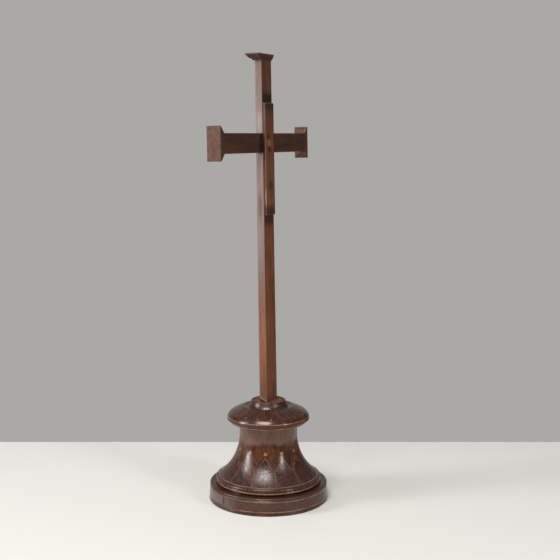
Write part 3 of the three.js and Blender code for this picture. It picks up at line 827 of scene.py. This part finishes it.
# The dots and arches. The arches' heights are above the bell's foot.
STRING_WIDTH = 1.4
ARCH_TOP = 63
ARCH_FOOT = 36.5
STEM_FOOT = 16.3
DOT_SIDES = 32


def arch_path():
    """Up one leg, over the point, down the other leg and the stem: shares of half a pitch, and heights."""
    steps = 12
    legs = [(i / steps, lerp(ARCH_TOP, ARCH_FOOT, abs(i) / steps)) for i in range(1 - steps, steps + 1)]
    stem = [(1, lerp(ARCH_FOOT, STEM_FOOT, i / steps)) for i in range(1, steps + 1)]
    return legs + stem


def arch(turn):
    """A tape of stringing along that path, with mitred corners and eased edges."""
    half_pitch = 180 / DOT_COUNT
    stations = []
    for share, height in arch_path():
        run = flank.run_at(height)
        angle = math.radians(turn + share * half_pitch)
        point = flank.place(run, angle)
        outward = (flank.place(run, angle, 1) - point).normalized()
        stations.append((point + Vector((0, 0, BELL_LEVEL)), outward))
    loops = []
    for i, (point, outward) in enumerate(stations):
        before = stations[max(i - 1, 0)][0]
        after = stations[min(i + 1, len(stations) - 1)][0]
        arriving = (point - before).normalized() if i else (after - point).normalized()
        leaving = (after - point).normalized() if i < len(stations) - 1 else arriving
        along = (arriving + leaving).normalized()
        mitre = 1 / max(along.dot(arriving), 0.4)
        side = outward.cross(along).normalized() * (STRING_WIDTH / 2 * mitre)
        crest = PROUD if i else PROUD / 2
        near_side = [(-1, -INLAY_DEPTH), (-1, crest - SEAM_EDGE), (-0.86, crest), (-0.55, crest)]
        section = near_side + [(-across, out) for across, out in reversed(near_side)]
        loops.append([point + side * across + outward * out for across, out in section])
    return sweep(loops, [[1, 1, 1, 0, 0, 1, 1, 1]] * len(loops))


for i in range(DOT_COUNT):
    turn = DOT_TURN + 360 * i / DOT_COUNT
    dot = patch(flank, DOT_HEIGHT, turn, circle(DOT_RADIUS, DOT_SIDES), BELL_LEVEL)
    make_piece(f"bell_plug_{i + 1:02d}", dot, inlay, f"bell_dot_{i + 1:02d}")
    make_piece(f"bell_stringing_{i + 1:02d}", arch(turn), thin_inlay, f"bell_arch_{i + 1:02d}")

COLLAR_SOCKET_RADIUS = HEAD_SPIGOT_RADIUS + JOINT_GAP
COLLAR_FOOT_RADIUS = 74.0
COLLAR_LINE_LOWER = ((COLLAR_FOOT_RADIUS, 2.15), (COLLAR_FOOT_RADIUS, 4.65))
COLLAR_LINE_UPPER = ((80.0, 12.9), (79.4, 15.3))
COLLAR_LEDGE = 4.9
SHOULDER_TOP = (72.6, 22.7)
DOME = (
    bezier(COLLAR_LINE_UPPER[1], (78.3, 17.2), (75.3, 21.2), SHOULDER_TOP, 16)
    + bezier(SHOULDER_TOP, (64.0, 27.6), (53.0, 33.2), (38.0, 35.7), 50)[1:]
)
dome = Slope(DOME)

# The hollow between the dome and the boss, with heights above the level of the boss. Its outer part belongs
# to the collar and its inner part to the boss, which sits in it.
BOSS_SEAT = BOSS_LEVEL - COLLAR_LEVEL
SEAT_FLOOR = BOSS_SEAT - JOINT_GAP
HOLLOW_RIM = (47.6, -2.95)
HOLLOW_BOTTOM = (41.0, -4.2)
BOSS_WALL_TOP = (34.1, 5.5)
HOLLOW = (
    bezier(HOLLOW_RIM, (45.4, -2.6), (43.6, -4.2), HOLLOW_BOTTOM, 14)
    + bezier(HOLLOW_BOTTOM, (39.4, -4.2), (36.8, -1.2), BOSS_WALL_TOP, 24)[1:]
)
BOSS_RADIUS = 36.8
BOSS_SEAM = 0.05
make_piece(
    "collar_body",
    lathe(
        [(0, HEAD_SPIGOT_LENGTH), (COLLAR_SOCKET_RADIUS, HEAD_SPIGOT_LENGTH), (COLLAR_SOCKET_RADIUS, 0)]
        + arc(COLLAR_FOOT_RADIUS, 0, 14.4, 1.9, 180, 90, 10)
        + groove(*COLLAR_LINE_LOWER)
        + [(COLLAR_FOOT_RADIUS, COLLAR_LEDGE), (COLLAR_FOOT_RADIUS + 0.6, COLLAR_LEDGE)]
        + arc(75.6, COLLAR_LEDGE + 4.4, 4.8, 4.4, -90, 0, 12)
        + groove(*COLLAR_LINE_UPPER)
        + [point for point in DOME[1:] if point[0] > HOLLOW_RIM[0] + 0.3]
        + [(radius, height + BOSS_SEAT) for radius, height in HOLLOW if radius > BOSS_RADIUS + BOSS_SEAM]
        + [(BOSS_RADIUS + BOSS_SEAM, SEAT_FLOOR), (0, SEAT_FLOOR)],
        COLLAR_LEVEL,
    ),
    collar_wood, "collar",
)
make_ring("collar", "lower", *COLLAR_LINE_LOWER, COLLAR_LEVEL, painted_light_stringing)
make_ring("collar", "upper", *COLLAR_LINE_UPPER, COLLAR_LEVEL, stringing)

DROP_COUNT = 18
DROP_TURN = 31.4
DROP_HEIGHT = 22.4
DROP_RADIUS = 2.1
DROP_LENGTH = 10.0


def drop_outline():
    """A round head with straight sides that rise to a point."""
    reach = DROP_LENGTH - DROP_RADIUS
    side = math.degrees(math.asin(DROP_RADIUS / reach))
    head = arc(0, 0, DROP_RADIUS, DROP_RADIUS, 180 - side, 360 + side, 20)
    point = Vector((0, reach))
    rise = [tuple(Vector(head[-1]).lerp(point, k / 6)) for k in range(1, 7)]
    fall = [tuple(point.lerp(Vector(head[0]), k / 6)) for k in range(1, 6)]
    return head + rise + fall


def dirty_tip(rise):
    """A drop is clean in its round head and fades into dirt towards its point."""
    return min(max((rise - 1.5) / 4, 0), 1)


for i in range(DROP_COUNT):
    turn = DROP_TURN + 360 * i / DROP_COUNT
    drop = patch(dome, DROP_HEIGHT, turn, drop_outline(), COLLAR_LEVEL, dirty_tip)
    make_piece(f"collar_tear_{i + 1:02d}", drop, drop_inlay, f"collar_drop_{i + 1:02d}")


BOSS_TOP = 7
BOSS_RIM_RISE = 2.4
MORTISE_REACH = 12


def boss():
    """The ring round the post: a wall that runs up from the hollow, a rounded rim and a worn top."""
    profile = (
        [(0, 0), (BOSS_RADIUS - 2 * BOSS_SEAM, 0)]
        + [point for point in HOLLOW if point[0] < BOSS_RADIUS - BOSS_SEAM]
        + arc(31.2, BOSS_HEIGHT - BOSS_RIM_RISE, 2.8, BOSS_RIM_RISE, 0, 120, 14)
        + [(29.6, 7.5), (28, 7.2), (25, BOSS_TOP), (0, BOSS_TOP)]
    )
    half = POST_WIDTHS[0] / 2 + JOINT_GAP
    front = BACK - POST_THICKNESSES[0] - JOINT_GAP
    mortise = box(-half, half, front, BACK + JOINT_GAP, -MORTISE_REACH, MORTISE_REACH)
    bmesh.ops.transform(mortise, matrix=CROSS, verts=mortise.verts)
    return cut(lathe(profile, BOSS_LEVEL), mortise)


boss_ring = make_piece("boss_ring", boss(), boss_wood, "boss")

# Its top is worn bare.
boss_ring.data.materials.append(worn_top_wood)
for face in boss_ring.data.polygons:
    if face.normal.z > 0.9 and face.center.z > (BOSS_LEVEL + BOSS_TOP - 1) * MM:
        face.material_index = 1


# The cross. It is drawn upright, with its heights above the boss, and make_piece gives it its lean.


def wobble(x, y, z=0.5):
    """A steady small unevenness, from -1 to 1."""
    return noise.noise(Vector((x, y, z)))


PLANK_EDGE = 0.7


def plank(levels, width_at, front_at, back_at, seed=0.0):
    """A plank that stands along its length, with hand-worn edges. Each level gives its own section."""
    loops, edges = [], []
    for level, side in levels:
        half = width_at(level) / 2
        radii = [PLANK_EDGE * (1 + 0.4 * wobble(seed + corner * 7.3, level / 23)) for corner in range(4)]
        outline = rounded_rectangle(-half, half, front_at(level, side), back_at(level, side), radii)
        loops.append([Vector((x, y, level)) for x, y, worn in outline])
        edges.append([worn for x, y, worn in outline])
    shape = sweep(loops, edges)
    bmesh.ops.remove_doubles(shape, verts=shape.verts, dist=1e-4)
    return shape


def levels_between(bottom, top, steps, breaks):
    """Even levels, each with its side of a break: 0 away from it, and -1 and 1 just before and after it."""
    plain = [lerp(bottom, top, i / steps) for i in range(steps + 1)]
    clear = [(level, 0) for level in plain if all(abs(level - b) > 1 for b in breaks)]
    return sorted(clear + [(b, side) for b in breaks for side in (-1, 1)])


def in_lap(level, side, low, high):
    """Whether a level, on its side of a break, lies in the half lap between two levels."""
    return low < level < high or (level, side) in ((low, 1), (high, -1))


LAP_GAP = 0.15
LAP_LOW = ARM_HEIGHT - ARM_WIDTH / 2 - LAP_GAP
LAP_HIGH = ARM_HEIGHT + ARM_WIDTH / 2 + LAP_GAP


def post_share(level):
    return max(level, 0) / CROSS_HEIGHT


def post_width(level):
    return lerp(*POST_WIDTHS, post_share(level))


def post_front(level, side):
    return BACK - lerp(*POST_THICKNESSES, post_share(level))


def post_back(level, side):
    return BACK - LAP_DEPTH - LAP_GAP if in_lap(level, side, LAP_LOW, LAP_HIGH) else BACK


POST_FOOT = -8
POST_TOP = CROSS_HEIGHT - END_DEPTH
make_piece(
    "post_plank",
    plank(levels_between(POST_FOOT, POST_TOP, 110, (LAP_LOW, LAP_HIGH)), post_width, post_front, post_back),
    post_wood, "post", lean=True,
)

ARM_END = ARM_SPAN / 2 - END_DEPTH
HALF_LAP = post_width(ARM_HEIGHT) / 2 + LAP_GAP


def arm_width(level):
    return ARM_WIDTH


def arm_front(level, side):
    return BACK - (LAP_DEPTH if in_lap(level, side, -HALF_LAP, HALF_LAP) else ARM_THICKNESS)


def arm_back(level, side):
    return BACK


def at_crossing(along=0, turn=90):
    """From a plank drawn upright to one laid along the arm, by default from far to near."""
    return Matrix.Translation((along, 0, ARM_HEIGHT)) @ Matrix.Rotation(math.radians(turn), 4, "Y")


arm = plank(
    levels_between(-ARM_END, ARM_END, 64, (-HALF_LAP, HALF_LAP)), arm_width, arm_front, arm_back, seed=40,
)
bmesh.ops.transform(arm, matrix=at_crossing(), verts=arm.verts)
make_piece("arm_plank", arm, arm_wood, "arm", lean=True)

# Profile of the moulded ends, as points of overhang and height above the plank's end
FILLET = [(3.2, 0), (3.2, 1.9), (3.5, 2.4), (4.4, 2.75)]
HOLLOW_MOULDING = [(5.9, 3.4), (7.3, 4.3), (8.7, 5.5), (9.9, 6.9), (10.8, 8.3), (11.3, 9.25), (12.1, 9.55)]
PLATE_FOOT = 9.65
PLATE_TOP = 12.1
PLATE = [
    (12.6, PLATE_FOOT), (END_OVERHANG, 9.95), (END_OVERHANG, PLATE_TOP), (12.75, 12.45), (12.4, END_DEPTH),
]


def moulded_end(width, thickness, seed):
    """An end block on a plank's end: a fillet, a hollow and a plate, flush with the plank's back."""
    loops, edges = [], []
    for overhang, height in FILLET + HOLLOW_MOULDING + PLATE:
        half = width / 2 + overhang
        front = BACK - thickness - overhang * END_FRONT_OVERHANG / END_OVERHANG
        inset = max(0, height - PLATE_TOP) * 0.6
        arris = 1.0 if height >= PLATE_FOOT and height != PLATE_TOP else 0.0
        radii = [0.6 + 0.3 * wobble(seed, height / 9), 1.3, 1.3, 0.6]
        outline = rounded_rectangle(-half, half, front, BACK - inset, radii)
        loops.append([Vector((x, y, height)) for x, y, worn in outline])
        edges.append([max(worn, arris) for x, y, worn in outline])
    return sweep(loops, edges)


def place_end(place, width, thickness, matrix, material, seed):
    shape = moulded_end(width, thickness, seed)
    bmesh.ops.transform(shape, matrix=matrix, verts=shape.verts)
    make_piece(f"{place}_moulding", shape, material, f"{place}_finial", lean=True)


place_end("top", POST_WIDTHS[1], POST_THICKNESSES[1], Matrix.Translation((0, 0, POST_TOP)), top_wood, 1)
place_end("near", ARM_WIDTH, ARM_THICKNESS, at_crossing(ARM_END), end_wood, 2)
place_end("far", ARM_WIDTH, ARM_THICKNESS, at_crossing(-ARM_END, -90), far_end_wood, 3)

# Batten and screw, with how far they stand out from the batten's foot
BATTEN_FOOT = BACK + 0.1
BATTEN_CORNER_RADII = (2.0, 1.4, 2.6, 1.4)
BATTEN_SIDE_TOP = 3.4
BATTEN_SIDE_FOOT = 0.2
SCREW_FACE = BATTEN_THICKNESS - 0.4
SCREW_HOLE_RADIUS = 3.7
SCREW_HOLE_FLOOR = 2
SCREW_RADIUS = 3.5
SLOT_WIDTH = 1.0
SLOT_DEPTH = 0.9


def batten():
    """The strip on the back, with its outer edges worn round."""
    loops, edges = [], []
    rims = (
        (0.2, 0, 0), (0, BATTEN_SIDE_FOOT, 0), (0, BATTEN_SIDE_TOP, 0), (0.1, 4.1, 1), (0.4, 4.5, 1),
        (0.8, 4.72, 1), (1.3, BATTEN_THICKNESS, 1), (2.4, BATTEN_THICKNESS, 0),
    )
    for inset, out, arris in rims:
        half, tall = BATTEN_WIDTH / 2 - inset, BATTEN_LENGTH / 2 - inset
        outline = rounded_rectangle(-half, half, -tall, tall, BATTEN_CORNER_RADII, 6)
        on_side = BATTEN_SIDE_FOOT <= out <= BATTEN_SIDE_TOP
        loops.append([Vector((x, BATTEN_FOOT + out, BATTEN_HEIGHT + z)) for x, z, worn in outline])
        edges.append([max(worn * on_side, arris) for x, z, worn in outline])
    return sweep(loops, edges)


def drum(rims):
    """A closed drum round the screw's axis, from its radii and how far out they are."""
    return sweep([
        [Vector((x, BATTEN_FOOT + out, SCREW_HEIGHT + z)) for x, z in circle(radius, SCREW_SIDES)]
        for radius, out in rims
    ])


screw_hole = drum([(SCREW_HOLE_RADIUS, SCREW_HOLE_FLOOR), (SCREW_HOLE_RADIUS, BATTEN_THICKNESS + 3.2)])
make_piece("back_batten", cut(batten(), screw_hole), batten_wood, "batten", lean=True)
screw = drum([
    (SCREW_RADIUS, SCREW_HOLE_FLOOR + 0.05), (SCREW_RADIUS, SCREW_FACE - 0.2),
    (SCREW_RADIUS - 0.2, SCREW_FACE), (1.5, SCREW_FACE + 0.05),
])
screw_slot = box(
    -SLOT_WIDTH / 2, SLOT_WIDTH / 2, BATTEN_FOOT + SCREW_FACE - SLOT_DEPTH, BATTEN_FOOT + SCREW_FACE + 2,
    SCREW_HEIGHT - 6, SCREW_HEIGHT + 6,
)
make_piece("screw_head", cut(screw, screw_slot), screw_metal, "batten_screw", lean=True)


# Stage, lights and camera, in metres


def make_camera():
    data = bpy.data.cameras.new("camera")
    data.sensor_width = 36
    data.lens = data.sensor_width * FOCAL_PIXELS / FRAME_PIXELS
    camera = bpy.data.objects.new("camera", data)
    bpy.context.collection.objects.link(camera)
    aside = view_direction(90) * CAMERA_ASIDE
    camera.location = view_direction(0) * CAMERA_DISTANCE + aside + Vector((0, 0, CAMERA_HEIGHT))
    camera.rotation_euler = (math.radians(90 - CAMERA_DROP), 0, math.radians(CAMERA_TURN))
    bpy.context.scene.camera = camera


def make_table():
    """A pale top whose straight back edge lies behind the object, square to the view."""
    back, front, side, thick = -0.368, 1.5, 1.6, 0.03
    plan = [(back, -side), (back, side), (front, side), (front, -side)]
    corners = [view_direction(0) * out + view_direction(90) * aside for out, aside in plan]
    shape = sweep([[corner + Vector((0, 0, height)) for corner in corners] for height in (0, -thick)])
    bmesh.ops.recalc_face_normals(shape, faces=shape.faces)
    data = bpy.data.meshes.new("table_top")
    shape.to_mesh(data)
    shape.free()
    data.materials.append(plain_stage("pale top", (0.715, 0.712, 0.684)))
    table = bpy.data.objects.new("table_top", data)
    bpy.context.collection.objects.link(table)


def make_panel(name, turn, rise, distance, width, height, watts, colour=(1, 1, 1)):
    """A soft light that faces the foot, from a turn to the picture's right and a rise in degrees."""
    data = bpy.data.lights.new(name, "AREA")
    data.shape = "RECTANGLE"
    data.size, data.size_y = width, height
    data.energy = watts
    data.color = colour
    light = bpy.data.objects.new(name, data)
    light.visible_camera = False
    direction = view_direction(turn, rise)
    light.location = direction * distance + Vector((0, 0, 0.1))
    light.rotation_euler = direction.to_track_quat("Z", "Y").to_euler()
    bpy.context.collection.objects.link(light)


def make_world(backdrop, horizon, wall, zenith):
    """A plain grey behind the object, and a dark room with a pale ceiling and one pale wall around it."""
    world = bpy.data.worlds.new("studio")
    bpy.context.scene.world = world
    world.use_nodes = True
    sky = Nodes(world.node_tree)
    sky.tree.nodes.clear()
    ray = sky.add("ShaderNodeTexCoord").outputs["Generated"]
    to_wall = sky.between(sky.vector_math("DOT_PRODUCT", ray, view_direction(-165)), 0.6, 0.85)
    to_ceiling = sky.between(sky.vector_math("DOT_PRODUCT", ray, (0, 0, 1)), 0.15, 0.9)
    room = sky.mix(to_ceiling, sky.mix(to_wall, horizon, wall), zenith)
    seen = sky.add("ShaderNodeLightPath").outputs["Is Camera Ray"]
    lighting = sky.add("ShaderNodeBackground", {"Color": room}).outputs[0]
    plain = sky.add("ShaderNodeBackground", {"Color": (*backdrop, 1)}).outputs[0]
    either = sky.add("ShaderNodeMixShader", {0: seen, 1: lighting, 2: plain}).outputs[0]
    sky.add("ShaderNodeOutputWorld", {"Surface": either})


make_camera()
make_table()
make_panel("left_window", -76, 23, 3.6, 0.8, 2.2, 80)
make_panel("right_window", 49, 26, 3.6, 0.5, 1.7, 36)
make_panel("overhead", -17, 57, 3.0, 1.4, 1.2, 70, (1, 0.965, 0.935))
make_world((0.405, 0.395, 0.38), (0.06, 0.058, 0.055), (0.4, 0.395, 0.385), (0.3, 0.295, 0.285))
bpy.context.scene.view_settings.view_transform = "Standard"
